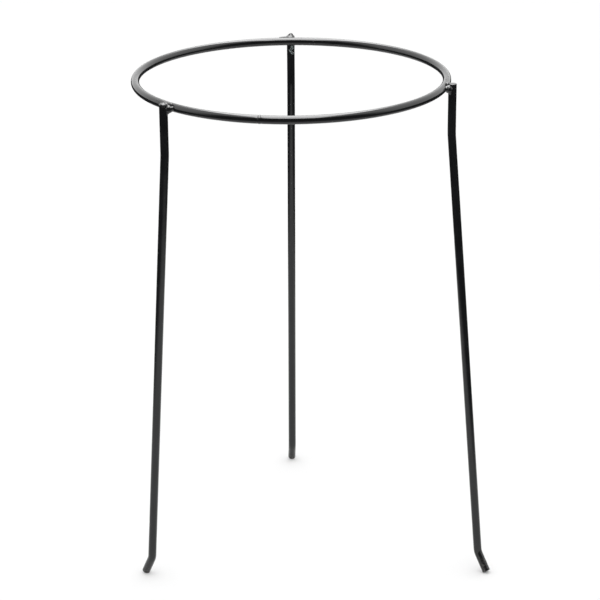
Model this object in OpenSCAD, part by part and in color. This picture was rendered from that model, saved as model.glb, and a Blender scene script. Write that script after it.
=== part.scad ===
// Tripod hunting stand: a round-rod hoop welded to three bent round-rod legs.
// Frame: origin on the hoop's axis at the floor, +Z up, +X to the right and +Y to the back
// when the stand is seen from the front. Millimetres.

/* [Overall] */
// Height from the floor to the top of the hoop and of the legs
stand_h = 500; // [380:10:700]

/* [Hoop] */
// Diameter of the hoop, measured at the middle of its rod
hoop_mid_d = 300; // [200:5:400]
// Diameter of the hoop's rod
hoop_rod_d = 8; // [6:0.5:12]
// Where the hoop's butt joint lies, in degrees round from the right
seam_at = 259; // [236:1:335]
// Width of the weld that closes the butt joint
seam_w = 2.6; // [1.5:0.1:5]
// How far the ground seam weld stands proud of the rod
seam_proud = 0.2; // [0.1:0.05:0.6]

/* [Legs] */
// Diameter of the legs' rod
leg_rod_d = 8; // [6:0.5:12]
// Drop from the middle of the hoop's rod to the knee bend
knee_drop = 45; // [30:1:90]
// Outward run from the upright top of a leg to the end of its toe
leg_reach = 52; // [35:1:110]
// Bend radius at the knee, at the middle of the rod
knee_bend_r = 60; // [30:5:100]
// Length of the toe, from the ankle bend's corner to the cut end
toe_l = 22; // [16:1:40]
// Angle of the toe from upright
toe_kick = 30; // [20:1:40]
// Bend radius at the ankle, at the middle of the rod
ankle_bend_r = 14; // [10:1:20]
// Chamfer on the rod's cut ends
end_chamfer = 0.5; // [0.2:0.1:1]
// How much the rod's diameter swells where it is bent
bend_swell = 0.04; // [0.02:0.01:0.1]

/* [Leg places] */
// Where the left leg is welded, in degrees round from the right
left_at = 222; // [205:1:235]
// Turn of the left leg about its upright top, from pointing straight out
left_turn = -92; // [-100:1:30]
// Where the right leg is welded
right_at = 345; // [336:1:360]
// Turn of the right leg about its upright top
right_turn = -24; // [-60:1:60]
// Where the back leg is welded
back_at = 90; // [60:1:120]
// Turn of the back leg about its upright top
back_turn = 3; // [-60:1:60]

/* [Welds] */
// Radius of the bead that closes the top of each joint
top_bead_r = 2.8; // [2:0.1:4]
// Length of the top bead along the hoop
top_bead_l = 9; // [5:0.5:14]
// Radius of the beads in the two corners beside a leg
side_bead_r = 3.4; // [2:0.1:4.5]
// How far a side bead runs along the hoop from the leg
side_bead_l = 4; // [2:0.5:8]
// Radius of the weld runs on the back leg's inner face
drip_r = 1.9; // [1.2:0.1:2.5]
// How far the weld runs go down below the hoop
drip_l = 9; // [4:0.5:20]

/* [Fits] */
// Gap between the hoop and a leg where they are closest, bridged by the weld
root_gap = 0.1; // [0.05:0.05:0.5]

/* [Hidden] */
$fn = 64;
hoop_fn = 360;
// Coarse enough for a bead that can't be rebuilt exactly to stay under the limit on triangles
weld_fn = 48;

// Turn that keeps a weld sphere's poles off the edges cut through it
pole_skew = 10;

paint = "#202225";
weld_paint = "#3a3c40";

hoop_r = hoop_mid_d / 2;
hoop_z = stand_h - hoop_rod_d / 2;
// The joint's corner line is where the hoop's outermost surface faces the leg.
corner_r = hoop_r + hoop_rod_d / 2 + root_gap / 2;
leg_axis_r = hoop_r + hoop_rod_d / 2 + root_gap + leg_rod_d / 2;
seam_deg = seam_w / hoop_r * 180 / PI;
// The two side beads start in the corners beside the leg and don't meet behind it.
side_bead_y = max(leg_rod_d / 2 - 0.3 * side_bead_r, side_bead_r + root_gap);

// Leg path in its own upright plane, as [outward, up]: knee and ankle are the sharp corners.
toe_end = [leg_reach, (leg_rod_d / 2 - end_chamfer) * sin(toe_kick)];
knee = [0, hoop_z - knee_drop];
ankle = toe_end - toe_l * heading(toe_kick);
shank = ankle - knee;
lean = atan2(shank[0], -shank[1]);
knee_trim = knee_bend_r * tan(lean / 2);
ankle_trim = ankle_bend_r * tan((toe_kick - lean) / 2);
upright_end = knee + [0, knee_trim];
// A straight run laps into the swollen bend this far, so that the two are one rod.
bend_lap = 0.3;
shank_start = knee + knee_trim * heading(lean);
shank_end = ankle - ankle_trim * heading(lean);
toe_start = ankle + ankle_trim * heading(toe_kick);

// Direction of travel down a leg that leans out by angle a
function heading(a) = [sin(a), -cos(a)];

// Straight rod from p to q in the leg's plane. It reaches into the bend at each end by lap,
// or is chamfered by cut where it ends.
module straight(p, q, lap_p = 0, lap_q = 0, cut = 0) {
    run = q - p;
    body_l = norm(run) + lap_p + lap_q - cut;
    translate([p[0], 0, p[1]])
        rotate([0, atan2(run[0], run[1]), 0])
            translate([0, 0, -lap_p])
                rotate_extrude()
                    polygon([
                        [0, 0], [leg_rod_d / 2, 0], [leg_rod_d / 2, body_l],
                        [leg_rod_d / 2 - cut, body_l + cut], [0, body_l + cut]
                    ]);
}

// Bend of radius r that starts at p, where the rod leans out by from, and ends at to
module bend(p, r, from, to) {
    centre = p + r * [cos(from), sin(from)];
    translate([centre[0], 0, centre[1]])
        rotate([90, 0, 0])
            rotate([0, 0, 180 + from])
                rotate_extrude(angle = to - from)
                    translate([r, 0])
                        circle(d = leg_rod_d + bend_swell);
}

// One leg, welded at angle at round the hoop and turned by turn about its upright top
module leg(at, turn) {
    color(paint)
        rotate([0, 0, at])
            translate([leg_axis_r, 0, 0])
                rotate([0, 0, turn]) {
                    straight(upright_end, [0, stand_h], lap_p = bend_lap, cut = end_chamfer);
                    bend(upright_end, knee_bend_r, 0, lean);
                    straight(shank_start, shank_end, bend_lap, bend_lap);
                    bend(shank_end, ankle_bend_r, lean, toe_kick);
                    straight(toe_start, toe_end, lap_p = bend_lap, cut = end_chamfer);
                }
}

// The hoop's rod, from one side of its butt joint round to the other
module hoop() {
    color(paint)
        translate([0, 0, hoop_z])
            rotate([0, 0, seam_at + seam_deg / 2])
                rotate_extrude(angle = 360 - seam_deg, $fn = hoop_fn)
                    translate([hoop_r, 0])
                        circle(d = hoop_rod_d);
}

// Weld that fills the butt joint, ground nearly flush
module hoop_seam_weld() {
    color(weld_paint)
        translate([0, 0, hoop_z])
            rotate([0, 0, seam_at - seam_deg / 2])
                rotate_extrude(angle = seam_deg, $fn = hoop_fn)
                    translate([hoop_r, 0])
                        circle(d = hoop_rod_d + 2 * seam_proud);
}

// Spheres at [outward, sideways, up, radius] from the middle of a joint's corner line. Each has
// its poles along the hoop, or turned off it by skew, and its own seam inside the hoop's rod.
module lumps(spheres, skew = 0) {
    for (s = spheres)
        translate([corner_r + s[0], s[1], hoop_z + s[2]])
            rotate([90, 0, 180 + skew])
                sphere(r = s[3], $fn = weld_fn);
}

// Weld metal of the given spheres, less the two rods and any bead that was laid first
module weld(at, spheres, laid_first = [], skew = 0) {
    color(weld_paint)
        rotate([0, 0, at])
            difference() {
                lumps(spheres, skew);
                translate([leg_axis_r, 0, 0])
                    straight(upright_end, [0, stand_h], cut = end_chamfer);
                translate([0, 0, hoop_z])
                    rotate([0, 0, 180])
                        rotate_extrude($fn = hoop_fn)
                            translate([hoop_r, 0])
                                circle(d = hoop_rod_d);
                if (len(laid_first) > 0)
                    lumps(laid_first);
            }
}

// Spheres of the bead in one corner beside a leg; side is 1 on the leg's left seen from the
// hoop's axis, else -1
function side_spheres(side) = [
    [0, side * side_bead_y, 0, side_bead_r],
    [-0.1 * side_bead_r, side * (side_bead_y + side_bead_l), 0.1 * side_bead_r, 0.8 * side_bead_r]
];

both_sides = concat(side_spheres(1), side_spheres(-1));

module side_weld(at, side) {
    weld(at, side_spheres(side), skew = side > 0 ? pole_skew : 0);
}

// Bead over the top of a joint, sunk into the groove between the hoop and the leg
module top_weld(at) {
    rise = hoop_rod_d / 2 - top_bead_r / 2;
    weld(at, [for (side = [-1, 0, 1])
        [-0.15 * top_bead_r, side * (top_bead_l / 2 - top_bead_r), rise, top_bead_r]], both_sides);
}

// Weld runs down a leg's inner face, under the hoop
module under_weld(at) {
    start = 0.3 * drip_r - hoop_rod_d / 2;
    steps = ceil(drip_l / (0.9 * drip_r));
    weld(at, [for (step = [0 : steps])
        [0, drip_r * (step % 2 - 0.5), start - step * drip_l / steps, drip_r * (1 - 0.3 * step / steps)]],
        both_sides, pole_skew);
}

module left_leg() { leg(left_at, left_turn); }
module right_leg() { leg(right_at, right_turn); }
module back_leg() { leg(back_at, back_turn); }
module left_top_weld() { top_weld(left_at); }
module left_front_weld() { side_weld(left_at, 1); }
module left_rear_weld() { side_weld(left_at, -1); }
module right_top_weld() { top_weld(right_at); }
module right_front_weld() { side_weld(right_at, -1); }
module right_rear_weld() { side_weld(right_at, 1); }
module back_top_weld() { top_weld(back_at); }
module back_left_weld() { side_weld(back_at, 1); }
module back_right_weld() { side_weld(back_at, -1); }
module back_under_weld() { under_weld(back_at); }

hoop();
hoop_seam_weld();
left_leg();
right_leg();
back_leg();
left_top_weld();
left_front_weld();
left_rear_weld();
right_top_weld();
right_front_weld();
right_rear_weld();
back_top_weld();
back_left_weld();
back_right_weld();
back_under_weld();
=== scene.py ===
"""Finish for a welded rod stand: painted rods, weld beads, spatter and the studio around them.

All lengths are metres, in the CAD model's own frame: the hoop's axis is Z and the floor is z = 0.
"""

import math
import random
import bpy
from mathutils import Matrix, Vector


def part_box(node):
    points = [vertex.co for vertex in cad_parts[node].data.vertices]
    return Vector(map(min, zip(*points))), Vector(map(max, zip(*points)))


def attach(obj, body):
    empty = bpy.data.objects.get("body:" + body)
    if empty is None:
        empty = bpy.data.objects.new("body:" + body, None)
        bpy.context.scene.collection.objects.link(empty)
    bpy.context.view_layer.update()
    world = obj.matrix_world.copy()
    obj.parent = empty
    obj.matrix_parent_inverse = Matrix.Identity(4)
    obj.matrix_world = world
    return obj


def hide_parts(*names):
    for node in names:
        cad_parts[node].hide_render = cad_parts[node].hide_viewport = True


bl_info = {
    "name": "Welded Rod Tripod Stand",
    "version": (1, 0, 0),
    "blender": (4, 5, 0),
    "location": "3D View > Sidebar > Rod Stand",
    "description": "Painted rods, weld beads and a studio stage for a hoop on three bent rod legs",
    "category": "Object",
}

import bpy
from bpy.props import FloatProperty, FloatVectorProperty, IntProperty, PointerProperty
from bpy.types import Operator, Panel, PropertyGroup
from mathutils import Matrix, Vector

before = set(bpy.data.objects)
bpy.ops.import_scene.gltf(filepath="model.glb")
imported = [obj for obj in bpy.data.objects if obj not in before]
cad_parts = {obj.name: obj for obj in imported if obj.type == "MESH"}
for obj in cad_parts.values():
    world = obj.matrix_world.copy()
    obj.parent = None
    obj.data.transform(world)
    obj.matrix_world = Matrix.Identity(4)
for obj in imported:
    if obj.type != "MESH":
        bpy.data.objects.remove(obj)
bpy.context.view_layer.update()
HOOP_LOW, HOOP_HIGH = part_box("hoop")
HOOP_Z = (HOOP_LOW.z + HOOP_HIGH.z) / 2

BODY = "root"
ROD_SLOT = "rod_paint"
WELD_SLOT = "weld_paint"
LEGS = ("left", "right", "back")
CREASE_ANGLE = 0.75  # edges that turn by more than this stay crisp

# Seeds of the pieces' patterns, so that no two pieces are alike.
HOOP_SEED, SEAM_SEED, LEG_SEED = 3, 5, 11
TOP_SEED, SIDE_SEED, RUN_SEED, RUN_DICE = 20, 30, 60, 50


# ---- Sizes and finishes ------------------------------------


def length(name, description, default):
    """A length that shows in the sidebar in the scene's units."""
    return FloatProperty(
        name=name,
        description=description,
        default=default,
        unit="LENGTH",
        subtype="DISTANCE",
        precision=5,
    )


def angle(name, description, degrees):
    """An angle that shows in the sidebar in degrees."""
    return FloatProperty(
        name=name,
        description=description,
        default=math.radians(degrees),
        unit="ROTATION",
        subtype="ANGLE",
    )


def colour(name, description, default):
    """A linear colour without alpha."""
    return FloatVectorProperty(
        name=name, description=description, default=default, size=3, subtype="COLOR", min=0, max=1
    )


class StandRods(PropertyGroup):
    """Sizes of the bar, the hoop and the bent legs."""

    rod_diameter: length("Rod", "Diameter of the round bar", HOOP_HIGH.z - HOOP_LOW.z)
    hoop_diameter: length("Hoop", "Hoop diameter at the middle of its rod", 0.3)
    seam_at: angle("Seam", "Where the hoop's butt weld lies, counter-clockwise from the right", 259)
    seam_width: length("Seam width", "Width of the hoop's butt weld", 0.0026)
    root_gap: length("Root gap", "Gap between the hoop and a leg, filled by the weld", 0.0001)
    knee_drop: length("Knee drop", "Drop from the hoop's middle to the knee", 0.045)
    leg_reach: length("Leg reach", "Outward run from a leg's upright top to its toe", 0.052)
    knee_radius: length("Knee radius", "Bend radius at the knee", 0.06)
    toe_length: length("Toe", "Toe length from the ankle's corner", 0.022)
    toe_kick: angle("Toe kick", "Angle of the toe from upright", 30)
    ankle_radius: length("Ankle radius", "Bend radius at the ankle", 0.014)
    end_chamfer: length("End chamfer", "Chamfer on the rod's cut ends", 0.0005)
    left_at: angle("Left leg", "Where the left leg is welded", 222)
    left_turn: angle("Left turn", "Turn of the left leg about its upright top", -92)
    right_at: angle("Right leg", "Where the right leg is welded", 345)
    right_turn: angle("Right turn", "Turn of the right leg about its upright top", -24)
    back_at: angle("Back leg", "Where the back leg is welded", 90)
    back_turn: angle("Back turn", "Turn of the back leg about its upright top", 3)
    sides: IntProperty(name="Sides", description="Faces round the rod", default=48, min=12, max=96)
    step: length("Step", "Spacing of the sections along the rod", 0.0016)


class StandWelds(PropertyGroup):
    """Sizes of the weld beads."""

    top_radius: length("Top bead", "Radius of the bead over a joint", 0.0028)
    top_length: length("Top bead length", "Length of the top bead along the hoop", 0.009)
    side_radius: length("Side bead", "Radius of the bead beside a leg", 0.0034)
    drop_radius: length("Drop", "Radius of the round drop on the two front joints", 0.004)
    nub_height: length("Nub", "Rise of the weld nub on top of the back joint", 0.0032)
    side_length: length("Side bead length", "Run of a side bead along the hoop", 0.004)
    drip_radius: length("Drip", "Radius of the weld runs under the back joint", 0.0019)
    drip_length: length("Drip length", "How far the weld runs go down", 0.0112)
    cell: length("Bead cell", "Size of the cells that the beads are cast in", 0.00022)
    lump_height: length("Lump height", "Unevenness of the beads' skin", 0.00016)
    lump_spacing: length("Lump spacing", "Spacing of the lumps in the beads' skin", 0.0016)
    spatter_radius: length("Spatter", "Radius of the largest spatter ball", 0.0005)
    spatter_count: IntProperty(
        name="Spatter count", description="Spatter balls at each joint", default=16, min=0, max=80
    )
    seam_proud: length("Seam rise", "How much wider than the rod the hoop's butt weld is", 0.0003)
    seam_fade: length("Seam fade", "Length over which the butt weld fades into the hoop", 0.0015)
    seam_wave: length("Seam wave", "Unevenness of the butt weld", 0.0002)
    seed: IntProperty(name="Seed", description="Seed of the beads and the spatter", default=7)


class StandPaint(PropertyGroup):
    """Colours and texture depths of the paint."""

    rod_colour: colour("Paint", "Gloss paint on the rods", (0.0046, 0.0048, 0.0053))
    weld_colour: colour("Weld paint", "Paint over the welds", (0.0065, 0.0068, 0.0075))
    # The primer colour also paints pale highlight flecks on the weld run under the back joint.
    primer_colour: colour("Primer", "Primer that shows in chips", (0.36, 0.43, 0.42))
    steel_colour: colour("Steel", "Bare steel on worn edges", (0.23, 0.22, 0.21))
    dust_colour: colour("Dust", "Dry dust near the floor", (0.07, 0.066, 0.06))
    wave_height: length("Wave", "Unevenness of the paint film along the rods", 0.00007)
    wave_length: length("Wave length", "Spacing of the paint film's waves", 0.014)
    peel_depth: length("Orange peel", "Depth of the fine texture of the paint", 0.000022)
    line_depth: length("Draw lines", "Depth of the bar's drawing lines under the paint", 0.000002)


class StandStage(PropertyGroup):
    """Floor, studio light and camera."""

    floor_colour: colour("Floor", "Pale studio floor", (0.9, 0.9, 0.9))
    floor_radius: length("Floor radius", "Radius of the studio floor", 9.0)
    sheet_width: length("Sheet width", "Reach to each side of the bright sheet", 0.82)
    sheet_depth: length("Sheet depth", "Reach to the front and back of the bright sheet", 1.05)
    studio_light: FloatProperty(name="Studio light", description="Light all round", default=1.16)
    strip_light: FloatProperty(name="Strip light", description="Overhead strip's light", default=9)
    camera_distance: length("Camera distance", "From the hoop's axis to the camera", 2.0502)
    camera_height: length("Camera height", "Height of the camera above the floor", 1.0257)
    camera_heading: angle("Camera heading", "Turn of the view to the right", 0.198)
    camera_tilt: angle("Camera tilt", "How far the camera looks down", 20.284)
    camera_roll: angle("Camera roll", "Roll of the camera", -0.418)
    camera_lens: FloatProperty(
        name="Lens", description="Focal length, mm", default=131.18, subtype="DISTANCE_CAMERA"
    )


# ---- Small helpers for nodes and pieces --------------------


class Board:
    """A node tree under construction. Each new node is placed to the right of the last one."""

    def __init__(self, tree):
        self.tree = tree
        self.column = 0

    def add(self, kind, feeds=None, **settings):
        """Adds a node, sets its properties, then fills its inputs from values or other sockets."""
        node = self.tree.nodes.new(kind)
        node.location = (200 * self.column, -160 * (self.column % 3))
        self.column += 1
        for name, value in settings.items():
            setattr(node, name, value)
        for key, value in (feeds or {}).items():
            entry = node.inputs[key]
            if isinstance(value, bpy.types.NodeSocket):
                self.tree.links.new(value, entry)
            else:
                entry.default_value = value
        return node

    def maths(self, operation, first, second=0.0, third=0.0):
        """The result socket of a Math node."""
        feeds = {0: first, 1: second, 2: third}
        return self.add("ShaderNodeMath", feeds, operation=operation).outputs[0]

    def vector(self, operation, first, second=(0.0, 0.0, 0.0), output="Vector"):
        """The result socket of a Vector Math node."""
        node = self.add("ShaderNodeVectorMath", {0: first, 1: second}, operation=operation)
        return node.outputs[output]

    def ramp(self, value, low, high, to_low=0.0, to_high=1.0):
        """value carried smoothly from low..high to to_low..to_high."""
        feeds = {"Value": value, 1: low, 2: high, 3: to_low, 4: to_high}
        node = self.add("ShaderNodeMapRange", feeds, interpolation_type="SMOOTHSTEP")
        return node.outputs["Result"]

    def noise(self, place, scale, detail=2.0, roughness=0.5):
        """The value of a noise pattern."""
        feeds = {"Vector": place, "Scale": scale, "Detail": detail, "Roughness": roughness}
        return self.add("ShaderNodeTexNoise", feeds).outputs[0]

    def keep(self, geometry, name, value, kind="FLOAT"):
        """The geometry with value stored on its points under name."""
        feeds = {"Geometry": geometry, "Name": name, "Value": value}
        node = self.add("GeometryNodeStoreNamedAttribute", feeds, data_type=kind, domain="POINT")
        return node.outputs[0]

    def read(self, name):
        """The number stored under name on the geometry."""
        feeds = {"Name": name}
        return self.add("GeometryNodeInputNamedAttribute", feeds, data_type="FLOAT").outputs[0]

    def blend(self, factor, first, second):
        """Mix of two colours, each a socket or three numbers, by a factor socket."""
        node = self.add("ShaderNodeMix", data_type="RGBA", clamp_factor=True)
        self.tree.links.new(factor, node.inputs[0])
        for entry, value in ((node.inputs[6], first), (node.inputs[7], second)):
            if isinstance(value, bpy.types.NodeSocket):
                self.tree.links.new(value, entry)
            else:
                entry.default_value = (*value[:3], 1.0)
        return node.outputs[2]


def socket(tree, name, kind, default=None, output=False):
    """Declares an input or output of a node group and returns its interface item."""
    item = tree.interface.new_socket(
        name=name, in_out="OUTPUT" if output else "INPUT", socket_type=f"NodeSocket{kind}"
    )
    if default is not None:
        item.default_value = default
    return item


def link_object(name, mesh):
    """A new object at the origin, in the scene."""
    piece = bpy.data.objects.new(name, mesh)
    bpy.context.scene.collection.objects.link(piece)
    return piece


def grow(name, mesh, tree, values):
    """Runs a geometry tree over a mesh and keeps the result as the plain mesh of a new object."""
    piece = link_object(name, mesh)
    modifier = piece.modifiers.new(tree.name, "NODES")
    modifier.node_group = tree
    inputs = {i.name: i.identifier for i in tree.interface.items_tree if i.in_out == "INPUT"}
    for key, value in values.items():
        modifier[inputs[key]] = value
    piece.update_tag()
    graph = bpy.context.evaluated_depsgraph_get()
    result = piece.evaluated_get(graph)
    grown = bpy.data.meshes.new_from_object(
        result, preserve_all_data_layers=True, depsgraph=graph
    )
    piece.modifiers.remove(modifier)
    old = piece.data
    piece.data = grown
    grown.name = name
    bpy.data.meshes.remove(old)
    if not grown.polygons:
        raise RuntimeError(f"{name} came out empty")
    return piece


def hand_over(piece, slot, *nodes):
    """The piece rides on the stand and stands for the CAD nodes, which are hidden; slot is not
    used.
    """
    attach(piece, BODY)
    if nodes:
        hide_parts(*nodes)


# ---- Paths -------------------------------------------------


def heading(lean):
    """Direction of travel down a leg that leans out by lean, as (outward, up)."""
    return Vector((math.sin(lean), -math.cos(lean)))


def straight_run(start, end, step):
    """Points from start to end, both included."""
    count = max(1, math.ceil((end - start).length / step))
    return [start.lerp(end, i / count) for i in range(count + 1)]


def bend_run(start, radius, lean, end_lean, step):
    """Points round a bend that starts at start, the first left out."""
    centre = start + radius * Vector((math.cos(lean), math.sin(lean)))
    count = max(4, math.ceil(radius * abs(end_lean - lean) / step))
    turns = [lean + (end_lean - lean) * i / count for i in range(1, count + 1)]
    return [centre - radius * Vector((math.cos(a), math.sin(a))) for a in turns]


def soften_ends(points, chamfer):
    """Adds close sections at both cut ends, where the rod's edge is chamfered."""
    marks = (0.0, 0.12, 0.3, 0.55, 0.8, 1.0, 1.3)
    out = [points[0] + (points[1] - points[0]).normalized() * chamfer * m for m in marks]
    back = [points[-1] + (points[-2] - points[-1]).normalized() * chamfer * m for m in marks]
    return out + points[1:-1] + back[::-1]


def leg_path(rods, stand_height):
    """A leg's centreline in its own upright plane, as (outward, up), from its top to its toe."""
    hoop_z = stand_height - rods.rod_diameter / 2
    toe_rise = (rods.rod_diameter / 2 - rods.end_chamfer) * math.sin(rods.toe_kick)
    toe_end = Vector((rods.leg_reach, toe_rise))
    ankle = toe_end - rods.toe_length * heading(rods.toe_kick)
    knee = Vector((0.0, hoop_z - rods.knee_drop))
    lean = math.atan2(ankle.x - knee.x, knee.y - ankle.y)
    knee_trim = rods.knee_radius * math.tan(lean / 2)
    ankle_trim = rods.ankle_radius * math.tan((rods.toe_kick - lean) / 2)
    upright_end = knee + Vector((0.0, knee_trim))
    shank_start = knee + knee_trim * heading(lean)
    shank_end = ankle - ankle_trim * heading(lean)
    toe_start = ankle + ankle_trim * heading(rods.toe_kick)
    points = straight_run(Vector((0.0, stand_height)), upright_end, rods.step)
    points += bend_run(upright_end, rods.knee_radius, 0.0, lean, rods.step)
    points += straight_run(shank_start, shank_end, rods.step)[1:]
    points += bend_run(shank_end, rods.ankle_radius, lean, rods.toe_kick, rods.step)
    points += straight_run(toe_start, toe_end, rods.step)[1:]
    return soften_ends(points, rods.end_chamfer)


def arc_path(radius, height, start, end, step):
    """Points on a level arc about the stand's axis."""
    count = max(6, math.ceil(radius * abs(end - start) / step))
    turns = [start + (end - start) * i / count for i in range(count + 1)]
    return [Vector((radius * math.cos(a), radius * math.sin(a), height)) for a in turns]


def path_mesh(name, points):
    """A mesh of one open run of edges."""
    mesh = bpy.data.meshes.new(name)
    mesh.from_pydata(points, [(i, i + 1) for i in range(len(points) - 1)], [])
    return mesh


# ---- Geometry trees ----------------------------------------


def rod_tree():
    """Sweeps a round bar along a path, with softened cut ends and a slightly uneven paint film."""
    tree = bpy.data.node_groups.new("Painted Rod", "GeometryNodeTree")
    board = Board(tree)
    socket(tree, "Path", "Geometry")
    socket(tree, "Diameter", "Float", 0.008)
    socket(tree, "Sides", "Int", 48)
    socket(tree, "Chamfer", "Float", 0.0005)
    socket(tree, "Wave Height", "Float", 0.00004)
    socket(tree, "Wave Length", "Float", 0.014)
    socket(tree, "Seed", "Float", 1.0)
    socket(tree, "Paint", "Material")
    socket(tree, "Rod", "Geometry", output=True)
    given = board.add("NodeGroupInput").outputs
    radius = board.maths("MULTIPLY", given["Diameter"], 0.5)

    curve = board.add("GeometryNodeMeshToCurve", {"Mesh": given["Path"]}).outputs["Curve"]
    along = board.add("GeometryNodeSplineParameter").outputs["Length"]
    whole = board.add("GeometryNodeSplineLength").outputs["Length"]
    to_end = board.maths("MINIMUM", along, board.maths("SUBTRACT", whole, along))
    depth = board.maths("DIVIDE", to_end, given["Chamfer"])
    depth = board.maths("MINIMUM", depth, 1.0)
    inner = board.maths("SUBTRACT", 1.0, depth)
    square = board.maths("MULTIPLY", inner, inner)
    rounding = board.maths("SQRT", board.maths("SUBTRACT", 1.0, square))
    cut = board.maths("MULTIPLY", board.maths("SUBTRACT", 1.0, rounding), given["Chamfer"])
    share = board.maths("SUBTRACT", 1.0, board.maths("DIVIDE", cut, radius))
    curve = board.keep(curve, "along", along)

    feeds = {"Resolution": given["Sides"], "Radius": radius}
    ring = board.add("GeometryNodeCurvePrimitiveCircle", feeds).outputs["Curve"]
    round_share = board.add("GeometryNodeSplineParameter").outputs["Factor"]
    ring = board.keep(ring, "around", round_share)
    feeds = {"Curve": curve, "Profile Curve": ring, "Scale": share, "Fill Caps": True}
    rod = board.add("GeometryNodeCurveToMesh", feeds).outputs["Mesh"]

    turn = board.maths("MULTIPLY", board.read("around"), math.tau)
    wrap = board.add(
        "ShaderNodeCombineXYZ",
        {
            "X": board.maths("MULTIPLY", board.maths("COSINE", turn), radius),
            "Y": board.maths("MULTIPLY", board.maths("SINE", turn), radius),
            "Z": board.read("along"),
        },
    ).outputs[0]
    rod = board.keep(rod, "rod_wrap", wrap, "FLOAT_VECTOR")
    pace = board.maths("DIVIDE", 1.0, given["Wave Length"])
    feeds = {"Vector": wrap, "W": given["Seed"], "Scale": pace, "Detail": 1.0}
    bumps = board.add("ShaderNodeTexNoise", feeds, noise_dimensions="4D").outputs[0]
    lift = board.maths("MULTIPLY", board.maths("SUBTRACT", bumps, 0.5), given["Wave Height"])
    rod = smooth_faces(board, push_out(board, rod, lift))
    fold = board.add("GeometryNodeInputMeshEdgeAngle").outputs["Unsigned Angle"]
    feeds = {0: fold, 1: CREASE_ANGLE}
    crisp = board.add("FunctionNodeCompare", feeds, operation="GREATER_THAN").outputs[0]
    feeds = {"Geometry": rod, "Selection": crisp, "Shade Smooth": False}
    rod = board.add("GeometryNodeSetShadeSmooth", feeds, domain="EDGE").outputs[0]
    paint_and_send(board, rod, given["Paint"], "Rod")
    return tree


def push_out(board, surface, lift):
    """Moves a surface along its own normals."""
    outward = board.add("GeometryNodeInputNormal").outputs[0]
    feeds = {0: outward, "Scale": lift}
    shift = board.add("ShaderNodeVectorMath", feeds, operation="SCALE").outputs[0]
    return board.add("GeometryNodeSetPosition", {"Geometry": surface, "Offset": shift}).outputs[0]


def smooth_faces(board, surface):
    """Shades all faces smooth."""
    feeds = {"Geometry": surface, "Shade Smooth": True}
    return board.add("GeometryNodeSetShadeSmooth", feeds, domain="FACE").outputs[0]


def paint_and_send(board, surface, paint, output):
    """Makes instances real, paints the surface and sends it out of the tree."""
    surface = board.add("GeometryNodeRealizeInstances", {"Geometry": surface}).outputs[0]
    feeds = {"Geometry": surface, "Material": paint}
    surface = board.add("GeometryNodeSetMaterial", feeds).outputs[0]
    board.add("NodeGroupOutput", {output: surface})


def balls_at(board, mesh, subdivisions):
    """Balls at a mesh's points, each as large as its point says."""
    feeds = {"Radius": 1.0, "Subdivisions": subdivisions}
    ball = board.add("GeometryNodeMeshIcoSphere", feeds).outputs["Mesh"]
    points = board.add("GeometryNodeMeshToPoints", {"Mesh": mesh}).outputs[0]
    feeds = {"Points": points, "Instance": ball, "Scale": board.read("puddle_size")}
    balls = board.add("GeometryNodeInstanceOnPoints", feeds).outputs[0]
    return board.add("GeometryNodeRealizeInstances", {"Geometry": balls}).outputs[0]


def bead_tree():
    """Casts weld metal over points with a radius each, and roughens its skin."""
    tree = bpy.data.node_groups.new("Weld Bead", "GeometryNodeTree")
    board = Board(tree)
    socket(tree, "Puddles", "Geometry")
    socket(tree, "Cell", "Float", 0.00025)
    socket(tree, "Lump Height", "Float", 0.00015)
    socket(tree, "Lump Spacing", "Float", 0.0016)
    socket(tree, "Seed", "Float", 1.0)
    socket(tree, "Thin Paint", "Float", 0.0)
    socket(tree, "Paint", "Material")
    socket(tree, "Bead", "Geometry", output=True)
    given = board.add("NodeGroupInput").outputs
    cast = board.add(
        "GeometryNodeMeshToVolume",
        {
            "Mesh": balls_at(board, given["Puddles"], 4),
            "Voxel Size": given["Cell"],
            "Interior Band Width": board.maths("MULTIPLY", given["Cell"], 3.0),
            "Density": 1.0,
        },
        resolution_mode="VOXEL_SIZE",
    ).outputs[0]
    bead = board.add(
        "GeometryNodeVolumeToMesh",
        {"Volume": cast, "Voxel Size": given["Cell"], "Threshold": 0.12, "Adaptivity": 0.0},
        resolution_mode="VOXEL_SIZE",
    ).outputs[0]
    place = board.add("GeometryNodeInputPosition").outputs[0]
    feeds = {"Value": place, "Iterations": 8}
    calm = board.add("GeometryNodeBlurAttribute", feeds, data_type="FLOAT_VECTOR").outputs[0]
    bead = board.add("GeometryNodeSetPosition", {"Geometry": bead, "Position": calm}).outputs[0]
    skin = board.add(
        "ShaderNodeTexNoise",
        {
            "Vector": board.add("GeometryNodeInputPosition").outputs[0],
            "W": given["Seed"],
            "Scale": board.maths("DIVIDE", 1.0, given["Lump Spacing"]),
            "Detail": 2.0,
        },
        noise_dimensions="4D",
    ).outputs[0]
    lift = board.maths("MULTIPLY", board.maths("SUBTRACT", skin, 0.5), given["Lump Height"])
    lift = board.maths("MULTIPLY", lift, 2.0)
    bead = smooth_faces(board, push_out(board, bead, lift))
    # Stores how much pale primer shows on the bead, which also paints highlights on the weld run.
    bead = board.keep(bead, "thin_paint", given["Thin Paint"])
    paint_and_send(board, bead, given["Paint"], "Bead")
    return tree


def spatter_tree():
    """Small round balls of weld spatter at points with a radius each."""
    tree = bpy.data.node_groups.new("Weld Spatter", "GeometryNodeTree")
    board = Board(tree)
    socket(tree, "Points", "Geometry")
    socket(tree, "Paint", "Material")
    socket(tree, "Spatter", "Geometry", output=True)
    given = board.add("NodeGroupInput").outputs
    balls = smooth_faces(board, balls_at(board, given["Points"], 2))
    paint_and_send(board, balls, given["Paint"], "Spatter")
    return tree


# ---- Paint -------------------------------------------------


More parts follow.
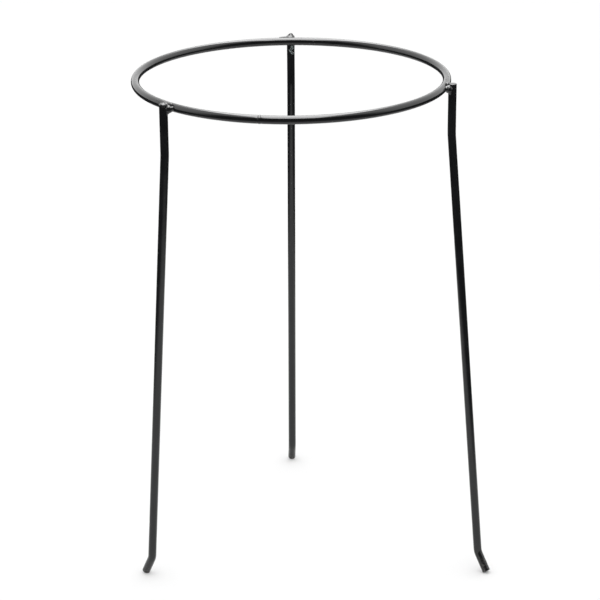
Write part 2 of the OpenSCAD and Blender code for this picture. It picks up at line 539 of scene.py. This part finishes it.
def paint_skin_group():
    """Height of a brushed gloss paint film from orange peel and the bar's drawing lines, and its
    dullness, which also has soft waves.
    """
    tree = bpy.data.node_groups.new("Paint Skin", "ShaderNodeTree")
    board = Board(tree)
    socket(tree, "Place", "Vector")
    socket(tree, "Wrap", "Vector")
    socket(tree, "Peel", "Float", 0.5)
    socket(tree, "Lines", "Float", 0.3)
    socket(tree, "Height", "Float", output=True)
    socket(tree, "Dull", "Float", output=True)
    given = board.add("NodeGroupInput").outputs
    peel = board.noise(given["Place"], 300.0, detail=1.0)
    stretch = board.vector("MULTIPLY", given["Wrap"], (1.0, 1.0, 0.02))
    lines = board.noise(stretch, 900.0, detail=1.0)
    drift = board.noise(given["Place"], 45.0, detail=3.0)
    peel_part = board.maths("MULTIPLY", peel, given["Peel"])
    line_part = board.maths("MULTIPLY", lines, given["Lines"])
    height = board.maths("ADD", peel_part, line_part)
    dull = board.maths("MULTIPLY_ADD", lines, 0.35, board.maths("MULTIPLY", drift, 0.65))
    board.add("NodeGroupOutput", {"Height": height, "Dull": dull})
    return tree


def chips_group():
    """Mask of small paint chips: a few round-edged flecks, each in its own cell."""
    tree = bpy.data.node_groups.new("Paint Chips", "ShaderNodeTree")
    board = Board(tree)
    socket(tree, "Place", "Vector")
    socket(tree, "Spacing", "Float", 90.0)
    socket(tree, "Size", "Float", 0.08)
    socket(tree, "Rarity", "Float", 0.9)
    socket(tree, "Chips", "Float", output=True)
    given = board.add("NodeGroupInput").outputs
    feeds = {"Vector": given["Place"], "Scale": 900.0, "Detail": 2.0}
    wobble = board.add("ShaderNodeTexNoise", feeds)
    nudge = board.vector("SCALE", wobble.outputs["Color"])
    nudge.node.inputs["Scale"].default_value = 0.0009
    place = board.vector("ADD", given["Place"], nudge)
    cells = board.add(
        "ShaderNodeTexVoronoi", {"Vector": place, "Scale": given["Spacing"], "Randomness": 1.0}
    )
    rough_size = board.maths("MULTIPLY", given["Size"], 0.8)
    near = board.ramp(cells.outputs["Distance"], rough_size, given["Size"], 1.0, 0.0)
    pick = board.add("ShaderNodeSeparateColor", {"Color": cells.outputs["Color"]}).outputs[0]
    chosen = board.maths("GREATER_THAN", pick, given["Rarity"])
    board.add("NodeGroupOutput", {"Chips": board.maths("MULTIPLY", near, chosen)})
    return tree


def toe_wear_group():
    """Masks for the last stretch above the floor: dust, and scuffs where the toe stands."""
    tree = bpy.data.node_groups.new("Toe Wear", "ShaderNodeTree")
    board = Board(tree)
    socket(tree, "Place", "Vector")
    socket(tree, "Reach", "Float", 0.03)
    socket(tree, "Dust", "Float", output=True)
    socket(tree, "Scuff", "Float", output=True)
    given = board.add("NodeGroupInput").outputs
    height = board.add("ShaderNodeSeparateXYZ", {0: given["Place"]}).outputs["Z"]
    low = board.ramp(height, 0.002, given["Reach"], 1.0, 0.0)
    cloud = board.noise(given["Place"], 260.0, detail=4.0, roughness=0.65)
    dust = board.maths("MULTIPLY", low, board.ramp(cloud, 0.35, 0.75))
    edge = board.ramp(height, 0.0006, 0.0032, 1.0, 0.0)
    scuff = board.maths("MULTIPLY", edge, board.ramp(cloud, 0.42, 0.6))
    board.add("NodeGroupOutput", {"Dust": dust, "Scuff": scuff})
    return tree


def call_group(board, tree, feeds):
    """Places a node group and fills its inputs."""
    node = board.add("ShaderNodeGroup", node_tree=tree)
    for key, value in feeds.items():
        if isinstance(value, bpy.types.NodeSocket):
            board.tree.links.new(value, node.inputs[key])
        else:
            node.inputs[key].default_value = value
    return node.outputs


def bare_material(name):
    """A new material and the board of its emptied tree."""
    material = bpy.data.materials.new(name)
    material.use_nodes = True
    material.node_tree.nodes.clear()
    return material, Board(material.node_tree)


def gloss_shader(board, shade, rough, height, depth):
    """The gloss paint's shader: shade, roughness and a skin whose height of 1 is depth deep."""
    skin = {"Height": height, "Distance": depth, "Strength": 1.0}
    normal = board.add("ShaderNodeBump", skin).outputs[0]
    feeds = {"Base Color": shade, "Roughness": rough, "Normal": normal, "IOR": 1.5}
    shader = board.add("ShaderNodeBsdfPrincipled", feeds)
    board.add("ShaderNodeOutputMaterial", {"Surface": shader.outputs[0]})


def rod_paint_material(paint, groups):
    """Gloss black paint over drawn steel bar, with chips, dust and scuffed toes."""
    material, board = bare_material("gloss_rod_paint")
    place = board.add("ShaderNodeTexCoord").outputs["Object"]
    wrap = board.add("ShaderNodeAttribute", attribute_name="rod_wrap").outputs["Vector"]
    skin = call_group(
        board,
        groups["skin"],
        {"Place": place, "Wrap": wrap, "Peel": 1.0, "Lines": paint.line_depth / paint.peel_depth},
    )
    chips = call_group(
        board, groups["chips"], {"Place": place, "Spacing": 75.0, "Size": 0.075, "Rarity": 0.9}
    )["Chips"]
    toe = call_group(board, groups["toe"], {"Place": place, "Reach": 0.034})
    shade = board.blend(
        board.ramp(skin["Dull"], 0.35, 0.7), paint.rod_colour, [c * 1.7 for c in paint.rod_colour]
    )
    shade = board.blend(board.maths("MULTIPLY", toe["Dust"], 0.5), shade, paint.dust_colour)
    shade = board.blend(chips, shade, paint.primer_colour)
    shade = board.blend(board.maths("MULTIPLY", toe["Scuff"], 0.5), shade, paint.steel_colour)
    rough = board.ramp(skin["Dull"], 0.3, 0.75, 0.07, 0.17)
    rough = board.maths("MAXIMUM", rough, board.maths("MULTIPLY", toe["Dust"], 0.5))
    rough = board.maths("MAXIMUM", rough, board.maths("MULTIPLY", chips, 0.6))
    height = board.maths("SUBTRACT", skin["Height"], board.maths("MULTIPLY", chips, 3.0))
    gloss_shader(board, shade, rough, height, paint.peel_depth)
    return material


def weld_paint_material(paint, groups):
    """The same paint over weld metal: coarser skin, a little greyer, with more chips."""
    material, board = bare_material("gloss_weld_paint")
    place = board.add("ShaderNodeTexCoord").outputs["Object"]
    feeds = {"Place": place, "Wrap": place, "Peel": 0.7, "Lines": 0.0}
    skin = call_group(board, groups["skin"], feeds)
    chips = call_group(
        board, groups["chips"], {"Place": place, "Spacing": 260.0, "Size": 0.16, "Rarity": 0.93}
    )["Chips"]
    ripple = board.noise(place, 1100.0, detail=3.0, roughness=0.6)
    shade = board.blend(
        board.ramp(ripple, 0.3, 0.75), paint.weld_colour, [c * 1.4 for c in paint.weld_colour]
    )
    # Pale primer flecks on the weld runs: partly primer where the paint is thin, partly a painted
    # highlight standing in for the runs' glints.
    thin_and_glint = board.add("ShaderNodeAttribute", attribute_name="thin_paint").outputs["Fac"]
    bare_and_glint = board.maths("MULTIPLY", thin_and_glint, board.ramp(ripple, 0.49, 0.6))
    shade = board.blend(board.maths("MAXIMUM", chips, bare_and_glint), shade, paint.primer_colour)
    rough = board.ramp(skin["Dull"], 0.3, 0.75, 0.06, 0.14)
    rough = board.maths("MAXIMUM", rough, board.maths("MULTIPLY", chips, 0.55))
    height = board.maths("ADD", skin["Height"], board.maths("MULTIPLY", ripple, 0.25))
    gloss_shader(board, shade, rough, height, paint.peel_depth)
    return material


def finishes():
    """The two paint materials, made on first use."""
    rod = bpy.data.materials.get("gloss_rod_paint")
    weld = bpy.data.materials.get("gloss_weld_paint")
    if rod is None or weld is None:
        paint = bpy.context.scene.stand_paint
        groups = {"skin": paint_skin_group(), "chips": chips_group(), "toe": toe_wear_group()}
        rod = rod_paint_material(paint, groups)
        weld = weld_paint_material(paint, groups)
    return rod, weld


def geometry_tree(name, maker):
    """The named geometry tree, made on first use."""
    return bpy.data.node_groups.get(name) or maker()


# ---- Joints ------------------------------------------------


def joint_place(rods, at, outward, sideways, up):
    """A point given from the middle of a joint's corner line, carried into the stand's frame."""
    reach = rods.hoop_diameter / 2 + rods.rod_diameter / 2 + rods.root_gap / 2 + outward
    spin = Matrix.Rotation(at, 3, "Z")
    return spin @ Vector((reach, sideways, 0.0)) + Vector((0.0, 0.0, HOOP_Z + up))


def side_puddles(welds, rods, side, dice, heavy):
    """Puddles of the bead in one corner beside a leg, and of its tail along the hoop. A heavy bead
    also sags out over the leg's face in a round drop with a tail."""
    r = welds.side_radius
    start = max(rods.rod_diameter / 2 - 0.3 * r, r + rods.root_gap)
    rows = [(0.0, side * start, 0.0, 0.98 * r)]
    if heavy:
        drop = welds.drop_radius
        rows.append((0.35 * drop, side * (start + 0.3 * drop), -0.12 * drop, drop))
        rows.append((0.6 * drop, side * (start + 0.1 * drop), -0.9 * drop, 0.5 * drop))
        rows.append((0.75 * drop, side * start, -1.35 * drop, 0.3 * drop))
    steps = 5
    for i in range(1, steps + 1):
        t = i / steps
        shrink = 0.98 - 0.22 * t + dice.uniform(-0.03, 0.03)
        wander = dice.uniform(-0.05, 0.05) * r
        along = side * (start + welds.side_length * t)
        rows.append((-0.1 * r * t, along, 0.1 * r * t + wander, shrink * r))
    warts, wart_reach = 4, 0.62
    for _ in range(warts):
        swing = dice.uniform(0.0, math.tau)
        size = dice.uniform(0.3, 0.42) * r
        along = side * (start + dice.uniform(-0.1, 0.4) * r)
        out, up = wart_reach * r * math.cos(swing), wart_reach * r * math.sin(swing)
        rows.append((out, along, up, size))
    return rows


def nub_puddles(welds, rods):
    """A low cone of weld metal on the top of a leg, with a shoulder to one side."""
    leg_r = rods.rod_diameter / 2
    foot, tip = 1.2 * leg_r, 0.45 * leg_r
    tilt, shoulder_run, shoulder_rise = 0.0004, 0.011, 0.0011
    cone_steps, shoulder_steps = 6, 8
    rows = []
    for i in range(cone_steps + 1):
        t = i / cone_steps
        size = foot + (tip - foot) * t
        middle = 0.3 * leg_r * (1 - t) + (leg_r + welds.nub_height - tip) * t
        rows.append((0.95 * leg_r, tilt * (1 - 2 * t), middle, size))
    for i in range(1, shoulder_steps + 1):
        t = i / shoulder_steps
        size = leg_r * (0.72 - 0.5 * t)
        crest = leg_r + shoulder_rise * (1 - t)
        rows.append((0.55 * leg_r * (1 - t), shoulder_run * t, crest - size, size))
    return rows


def cap_puddles(rods, dice):
    """Weld metal that rounds off the top of a leg and runs on over the hoop beside it."""
    leg_r = rods.rod_diameter / 2
    rim, rim_count, run_steps = 0.62, 10, 8
    rows = [(leg_r, 0.0, 0.62 * leg_r, 0.68 * leg_r)]
    for i in range(rim_count):
        turn = math.tau * i / rim_count
        out, side = leg_r * (1 + rim * math.cos(turn)), rim * leg_r * math.sin(turn)
        rows.append((out, side, 0.68 * leg_r, 0.5 * leg_r * dice.uniform(0.97, 1.03)))
    for i in range(run_steps + 1):
        t = i / run_steps
        side = (-1.6 + 3.2 * t) * leg_r
        size = (0.95 - 0.5 * abs(2 * t - 1)) * leg_r * dice.uniform(0.97, 1.03)
        rows.append((-0.1 * leg_r, side, 1.32 * leg_r - size, size))
    return rows


def top_puddles(welds, rods, dice):
    """Puddles of the bead over a joint, in overlapping ripples along the hoop."""
    r = welds.top_radius
    rise = rods.rod_diameter / 2 - r / 2
    half = welds.top_length / 2 - r
    steps = 5
    rows = []
    for i in range(steps + 1):
        t = 2 * i / steps - 1
        out = -0.15 * r + dice.uniform(-0.12, 0.12) * r
        rows.append((out, half * t, rise, r * dice.uniform(0.88, 1.0)))
    return rows


def drip_puddles(welds, rods, dice):
    """Puddles of the weld run that wanders down a leg's inner face."""
    r = welds.drip_radius
    start = 0.3 * r - rods.rod_diameter / 2
    steps, bends, swells = 26, 3.1, 9.3
    rows = []
    for i in range(steps + 1):
        t = i / steps
        wander = -0.35 * r + 0.62 * r * math.cos(t * bends * math.pi)
        swell = 0.64 + 0.3 * math.cos(t * swells * math.pi)
        size = r * swell * dice.uniform(0.95, 1.0)
        rows.append((0.3 * r - 0.45 * size, wander, start - t * welds.drip_length, size))
    return rows


def puddle_mesh(name, rows):
    """A mesh of loose points with a radius each."""
    mesh = bpy.data.meshes.new(name)
    mesh.from_pydata([place for place, _ in rows], [], [])
    sizes = mesh.attributes.new("puddle_size", "FLOAT", "POINT")
    sizes.data.foreach_set("value", [size for _, size in rows])
    return mesh


def cast_bead(name, node, at, rows, seed, thin_and_glint=0.0):
    """One bead from its puddles, standing for the CAD bead of the same place. thin_and_glint says
    how far the paint has missed it; the pale primer that shows there also paints highlights on the
    bead."""
    scene = bpy.context.scene
    rods, welds = scene.stand_rods, scene.stand_welds
    placed = [(joint_place(rods, at, o, s, u), size) for o, s, u, size in rows]
    piece = grow(
        name,
        puddle_mesh(name, placed),
        geometry_tree("Weld Bead", bead_tree),
        {
            "Cell": welds.cell,
            "Lump Height": welds.lump_height,
            "Lump Spacing": welds.lump_spacing,
            "Seed": float(seed),
            "Thin Paint": thin_and_glint,
            "Paint": finishes()[1],
        },
    )
    hand_over(piece, WELD_SLOT, node)
    return piece


def sweep_rod(name, points, diameter, chamfer, wave, seed, paint):
    """One bar swept along its centreline."""
    scene = bpy.context.scene
    rods, film = scene.stand_rods, scene.stand_paint
    return grow(
        name,
        path_mesh(name, points),
        geometry_tree("Painted Rod", rod_tree),
        {
            "Diameter": diameter,
            "Sides": rods.sides,
            "Chamfer": chamfer,
            "Wave Height": wave,
            "Wave Length": film.wave_length,
            "Seed": float(seed),
            "Paint": paint,
        },
    )


# ---- Operators ---------------------------------------------


class STAND_OT_hoop(Operator):
    """Sweep the hoop's rod and close its butt weld"""

    bl_idname = "stand.hoop"
    bl_label = "Hoop"

    def execute(self, context):
        scene = context.scene
        rods, welds, film = scene.stand_rods, scene.stand_welds, scene.stand_paint
        rod_paint, weld_paint = finishes()
        radius = rods.hoop_diameter / 2
        half_seam = rods.seam_width / radius / 2
        butt_chamfer, seam_step = 0.0001, 0.0002
        start, end = rods.seam_at + half_seam, rods.seam_at - half_seam + math.tau
        ring = arc_path(radius, HOOP_Z, start, end, rods.step)
        width, wave = rods.rod_diameter, film.wave_height
        hoop = sweep_rod("hoop_rod", ring, width, butt_chamfer, wave, HOOP_SEED, rod_paint)
        hand_over(hoop, ROD_SLOT, "hoop")
        lap = half_seam * 1.5
        seam = arc_path(radius, HOOP_Z, rods.seam_at - lap, rods.seam_at + lap, seam_step)
        width = rods.rod_diameter + welds.seam_proud
        weld = sweep_rod(
            "hoop_seam_bead", seam, width, welds.seam_fade, welds.seam_wave, SEAM_SEED, weld_paint
        )
        hand_over(weld, WELD_SLOT, "hoop_seam_weld")
        return {"FINISHED"}


class STAND_OT_legs(Operator):
    """Sweep the three bent legs and stand them at their places round the hoop"""

    bl_idname = "stand.legs"
    bl_label = "Legs"

    def execute(self, context):
        rods, film = context.scene.stand_rods, context.scene.stand_paint
        line = leg_path(rods, HOOP_HIGH.z)
        axis = rods.hoop_diameter / 2 + rods.rod_diameter + rods.root_gap
        for seed, side in enumerate(LEGS):
            at, turn = getattr(rods, side + "_at"), getattr(rods, side + "_turn")
            stand = (
                Matrix.Rotation(at, 4, "Z")
                @ Matrix.Translation((axis, 0.0, 0.0))
                @ Matrix.Rotation(turn, 4, "Z")
            )
            points = [stand @ Vector((p.x, 0.0, p.y)) for p in line]
            leg = sweep_rod(
                side + "_leg_rod", points, rods.rod_diameter, rods.end_chamfer, film.wave_height,
                LEG_SEED + seed, finishes()[0],
            )
            hand_over(leg, ROD_SLOT, side + "_leg")
        return {"FINISHED"}


class STAND_OT_welds(Operator):
    """Cast the weld beads of the three joints"""

    bl_idname = "stand.welds"
    bl_label = "Weld Beads"

    def execute(self, context):
        rods, welds = context.scene.stand_rods, context.scene.stand_welds
        sides = {"left": ("front", "rear"), "right": ("rear", "front"), "back": ("left", "right")}
        for count, leg in enumerate(LEGS):
            at = getattr(rods, leg + "_at")
            dice = random.Random(welds.seed + count)
            rows = cap_puddles(rods, dice) if leg == "left" else top_puddles(welds, rods, dice)
            if leg == "back":
                rows += nub_puddles(welds, rods)
            cast_bead(leg + "_top_bead", leg + "_top_weld", at, rows, TOP_SEED + count)
            for side, word in zip((1, -1), sides[leg]):
                heavy = word == "front"
                rows = side_puddles(welds, rods, side, dice, heavy)
                seed = SIDE_SEED + 2 * count + side
                cast_bead(f"{leg}_{word}_bead", f"{leg}_{word}_weld", at, rows, seed)
        dice = random.Random(welds.seed + RUN_DICE)
        rows = drip_puddles(welds, rods, dice)
        # The weld run under the back joint gets pale primer flecks: thin paint, and painted
        # highlight in place of glints.
        cast_bead("back_under_bead", "back_under_weld", rods.back_at, rows, RUN_SEED, thin_and_glint=0.75)
        return {"FINISHED"}


class STAND_OT_spatter(Operator):
    """Scatter small balls of weld spatter on the rods near the joints"""

    bl_idname = "stand.spatter"
    bl_label = "Weld Spatter"

    def execute(self, context):
        rods, welds = context.scene.stand_rods, context.scene.stand_welds
        dice = random.Random(welds.seed)
        rod_r = rods.rod_diameter / 2
        ring_r = rods.hoop_diameter / 2
        least, most, usual = 0.05, 0.24, 0.06  # turns round the hoop from the joint, in radians
        outer_face, inner_face = 0.15 * math.pi, 1.1 * math.pi
        rows = []
        for leg in LEGS:
            at = getattr(rods, leg + "_at")
            for _ in range(welds.spatter_count):
                size = welds.spatter_radius * dice.uniform(0.25, 1.0) ** 2
                swing = at + dice.choice((-1, 1)) * dice.triangular(least, most, usual)
                turn = dice.uniform(outer_face, inner_face)
                sunk = rod_r - 0.25 * size
                reach, z = ring_r + sunk * math.cos(turn), HOOP_Z + sunk * math.sin(turn)
                rows.append((Vector((reach * math.cos(swing), reach * math.sin(swing), z)), size))
        balls = grow(
            "weld_spatter",
            puddle_mesh("weld_spatter", rows),
            geometry_tree("Weld Spatter", spatter_tree),
            {"Paint": finishes()[1]},
        )
        hand_over(balls, WELD_SLOT)
        return {"FINISHED"}


class STAND_OT_stage(Operator):
    """Lay the studio floor, light it and set the camera"""

    bl_idname = "stand.stage"
    bl_label = "Stage"

    def execute(self, context):
        stage = context.scene.stand_stage
        lay_floor(stage)
        lay_dark_surround(stage)
        light_studio(context.scene, stage)
        set_camera(context.scene, stage)
        return {"FINISHED"}


def disc(name, inner, outer, height):
    """A flat ring, or a full disc where inner is 0, made of fine sectors."""
    rounds, spokes, smallest = 12, 96, 0.0001
    points, faces = [], []
    for i in range(rounds + 1):
        r = max(inner + (outer - inner) * i / rounds, smallest)
        for k in range(spokes):
            a = math.tau * k / spokes
            points.append((r * math.cos(a), r * math.sin(a), height))
    for i in range(rounds):
        for k in range(spokes):
            n = (k + 1) % spokes
            here, beyond = i * spokes, (i + 1) * spokes
            faces.append((here + k, beyond + k, beyond + n, here + n))
    if inner == 0:
        faces.append(tuple(range(spokes)))
    mesh = bpy.data.meshes.new(name)
    mesh.from_pydata(points, [], faces)
    return link_object(name, mesh)


def lay_floor(stage):
    """The pale studio floor."""
    floor = disc("studio_floor", 0.0, stage.floor_radius, 0.0)
    material, board = bare_material("studio_floor_paper")
    place = board.add("ShaderNodeTexCoord").outputs["Object"]
    grain = board.noise(place, 600.0)
    shade = board.blend(grain, [c * 0.985 for c in stage.floor_colour], stage.floor_colour)
    shader = board.add("ShaderNodeBsdfPrincipled", {"Base Color": shade, "Roughness": 0.9})
    shader.inputs["Specular IOR Level"].default_value = 0.2
    board.add("ShaderNodeOutputMaterial", {"Surface": shader.outputs[0]})
    floor.data.materials.append(material)


# The card fades in from half-way out to the sheet's rim, and always covers a little.
CARD_EDGE, CARD_COVER = (0.5, 1.0), (0.1, 0.97)
# Colour of the painted dark reflection.
CARD_COLOUR = (0.012, 0.012, 0.014, 1.0)
CARD_HEIGHT = 0.0004


def lay_dark_surround(stage):
    """A dark card on the floor round the stand that only the gloss of the paint sees: it paints
    dark reflections on the rods and casts no shade.
    """
    card = disc("dark_surround", 0.0, stage.floor_radius, CARD_HEIGHT)
    material, board = bare_material("dark_surround_felt")
    place = board.add("ShaderNodeTexCoord").outputs["Object"]
    place = board.vector("DIVIDE", place, (stage.sheet_width, stage.sheet_depth, 1.0))
    reach = board.vector("LENGTH", place, output="Value")
    cover = board.ramp(reach, *CARD_EDGE, *CARD_COVER)
    clear = board.add("ShaderNodeBsdfTransparent").outputs[0]
    # Near-black glow that paints the dark reflections in the rods' gloss.
    feeds = {"Color": CARD_COLOUR, "Strength": 1.0}
    dark_reflection = board.add("ShaderNodeEmission", feeds).outputs[0]
    mixed = board.add("ShaderNodeMixShader", {0: cover, 1: clear, 2: dark_reflection}).outputs[0]
    board.add("ShaderNodeOutputMaterial", {"Surface": mixed})
    card.data.materials.append(material)
    for ray in ("camera", "diffuse", "transmission", "volume_scatter", "shadow"):
        setattr(card, "visible_" + ray, False)


# The room seen in reflections. Each pair says where a change starts and where it ends. The strip's
# are distances on a ceiling 1 high, the others are parts of a direction of length 1.
STRIP_SIDE = (0.24, 0.42)
STRIP_REAR = (0.9, 1.7)
STRIP_FRONT = (-0.85, -0.6)
WALL_RISE, WALL_LIGHT = (0.1, 0.8), (1.5, 1.85)
DARK_FRONT, DARK_RISE, DARK_DEPTH = (-0.65, -0.15), (0.58, 0.99), 0.97


def light_studio(scene, stage):
    """Even soft light all round, and for reflections a room with a strip light overhead."""
    world = bpy.data.worlds.new("studio")
    world.use_nodes = True
    world.node_tree.nodes.clear()
    board = Board(world.node_tree)
    way = board.add("ShaderNodeTexCoord").outputs["Generated"]
    parts = board.add("ShaderNodeSeparateXYZ", {0: way}).outputs
    up = board.maths("MAXIMUM", parts["Z"], 0.02)
    across = board.maths("DIVIDE", board.maths("ABSOLUTE", parts["X"]), up)
    behind = board.maths("DIVIDE", parts["Y"], up)
    strip = board.ramp(across, *STRIP_SIDE, 1.0, 0.0)
    strip = board.maths("MULTIPLY", strip, board.ramp(behind, *STRIP_REAR, 1.0, 0.0))
    strip = board.maths("MULTIPLY", strip, board.ramp(behind, *STRIP_FRONT))
    wall = board.ramp(parts["Z"], *WALL_RISE, *WALL_LIGHT)
    dark = board.ramp(parts["Y"], *DARK_FRONT, 1.0, 0.0)
    dark = board.maths("MULTIPLY", dark, board.ramp(parts["Z"], *DARK_RISE, 1.0, 0.0))
    lit = board.maths("SUBTRACT", 1.0, board.maths("MULTIPLY", dark, DARK_DEPTH))
    room = board.maths("MULTIPLY", wall, lit)
    room = board.maths("ADD", room, board.maths("MULTIPLY", strip, stage.strip_light))
    gloss = board.add("ShaderNodeLightPath").outputs["Is Glossy Ray"]
    feeds = {"Color": (1, 1, 1, 1), "Strength": stage.studio_light}
    even = board.add("ShaderNodeBackground", feeds)
    seen = board.add("ShaderNodeBackground", {"Color": (1, 1, 1, 1), "Strength": room})
    both = board.add("ShaderNodeMixShader", {0: gloss, 1: even.outputs[0], 2: seen.outputs[0]})
    board.add("ShaderNodeOutputWorld", {"Surface": both.outputs[0]})
    # Only bounced rays find the room, so that gloss and soft light each see their own brightness.
    world.cycles.sampling_method = "NONE"
    scene.world = world
    scene.view_settings.view_transform = "Standard"


def set_camera(scene, stage):
    """The camera stands in front of the stand and looks down on it."""
    data = bpy.data.cameras.new("stand_camera")
    data.sensor_width = 36.0
    data.lens = stage.camera_lens
    data.clip_start, data.clip_end = 0.05, 60.0
    camera = bpy.data.objects.new("stand_camera", data)
    scene.collection.objects.link(camera)
    turn = (
        Matrix.Rotation(-stage.camera_heading, 4, "Z")
        @ Matrix.Rotation(math.pi / 2 - stage.camera_tilt, 4, "X")
        @ Matrix.Rotation(stage.camera_roll, 4, "Z")
    )
    place = Matrix.Translation((0.0, -stage.camera_distance, stage.camera_height))
    camera.matrix_world = place @ turn
    scene.camera = camera


# ---- Panel and registration --------------------------------


class STAND_PT_panel(Panel):
    """Sizes, finishes and the steps that make the stand"""

    bl_idname = "STAND_PT_panel"
    bl_label = "Rod Stand"
    bl_space_type = "VIEW_3D"
    bl_region_type = "UI"
    bl_category = "Rod Stand"

    def draw(self, context):
        for operator in OPERATORS:
            self.layout.operator(operator.bl_idname)
        for name, group in GROUPS.items():
            box = self.layout.box()
            box.label(text=group.__doc__)
            for field in group.__annotations__:
                box.prop(getattr(context.scene, name), field)


OPERATORS = (STAND_OT_hoop, STAND_OT_legs, STAND_OT_welds, STAND_OT_spatter, STAND_OT_stage)
GROUPS = {
    "stand_rods": StandRods,
    "stand_welds": StandWelds,
    "stand_paint": StandPaint,
    "stand_stage": StandStage,
}
CLASSES = (*GROUPS.values(), *OPERATORS, STAND_PT_panel)


def register():
    """Registers the classes and hangs the sizes on the scene."""
    for cls in CLASSES:
        bpy.utils.register_class(cls)
    for name, group in GROUPS.items():
        setattr(bpy.types.Scene, name, PointerProperty(type=group))


def unregister():
    """Takes the sizes and the classes away again."""
    for name in GROUPS:
        delattr(bpy.types.Scene, name)
    for cls in reversed(CLASSES):
        bpy.utils.unregister_class(cls)


def main():
    """Makes the whole stand."""
    register()
    for operator in OPERATORS:
        group, name = operator.bl_idname.split(".")
        getattr(getattr(bpy.ops, group), name)()


if __name__ == "__main__":
    main()
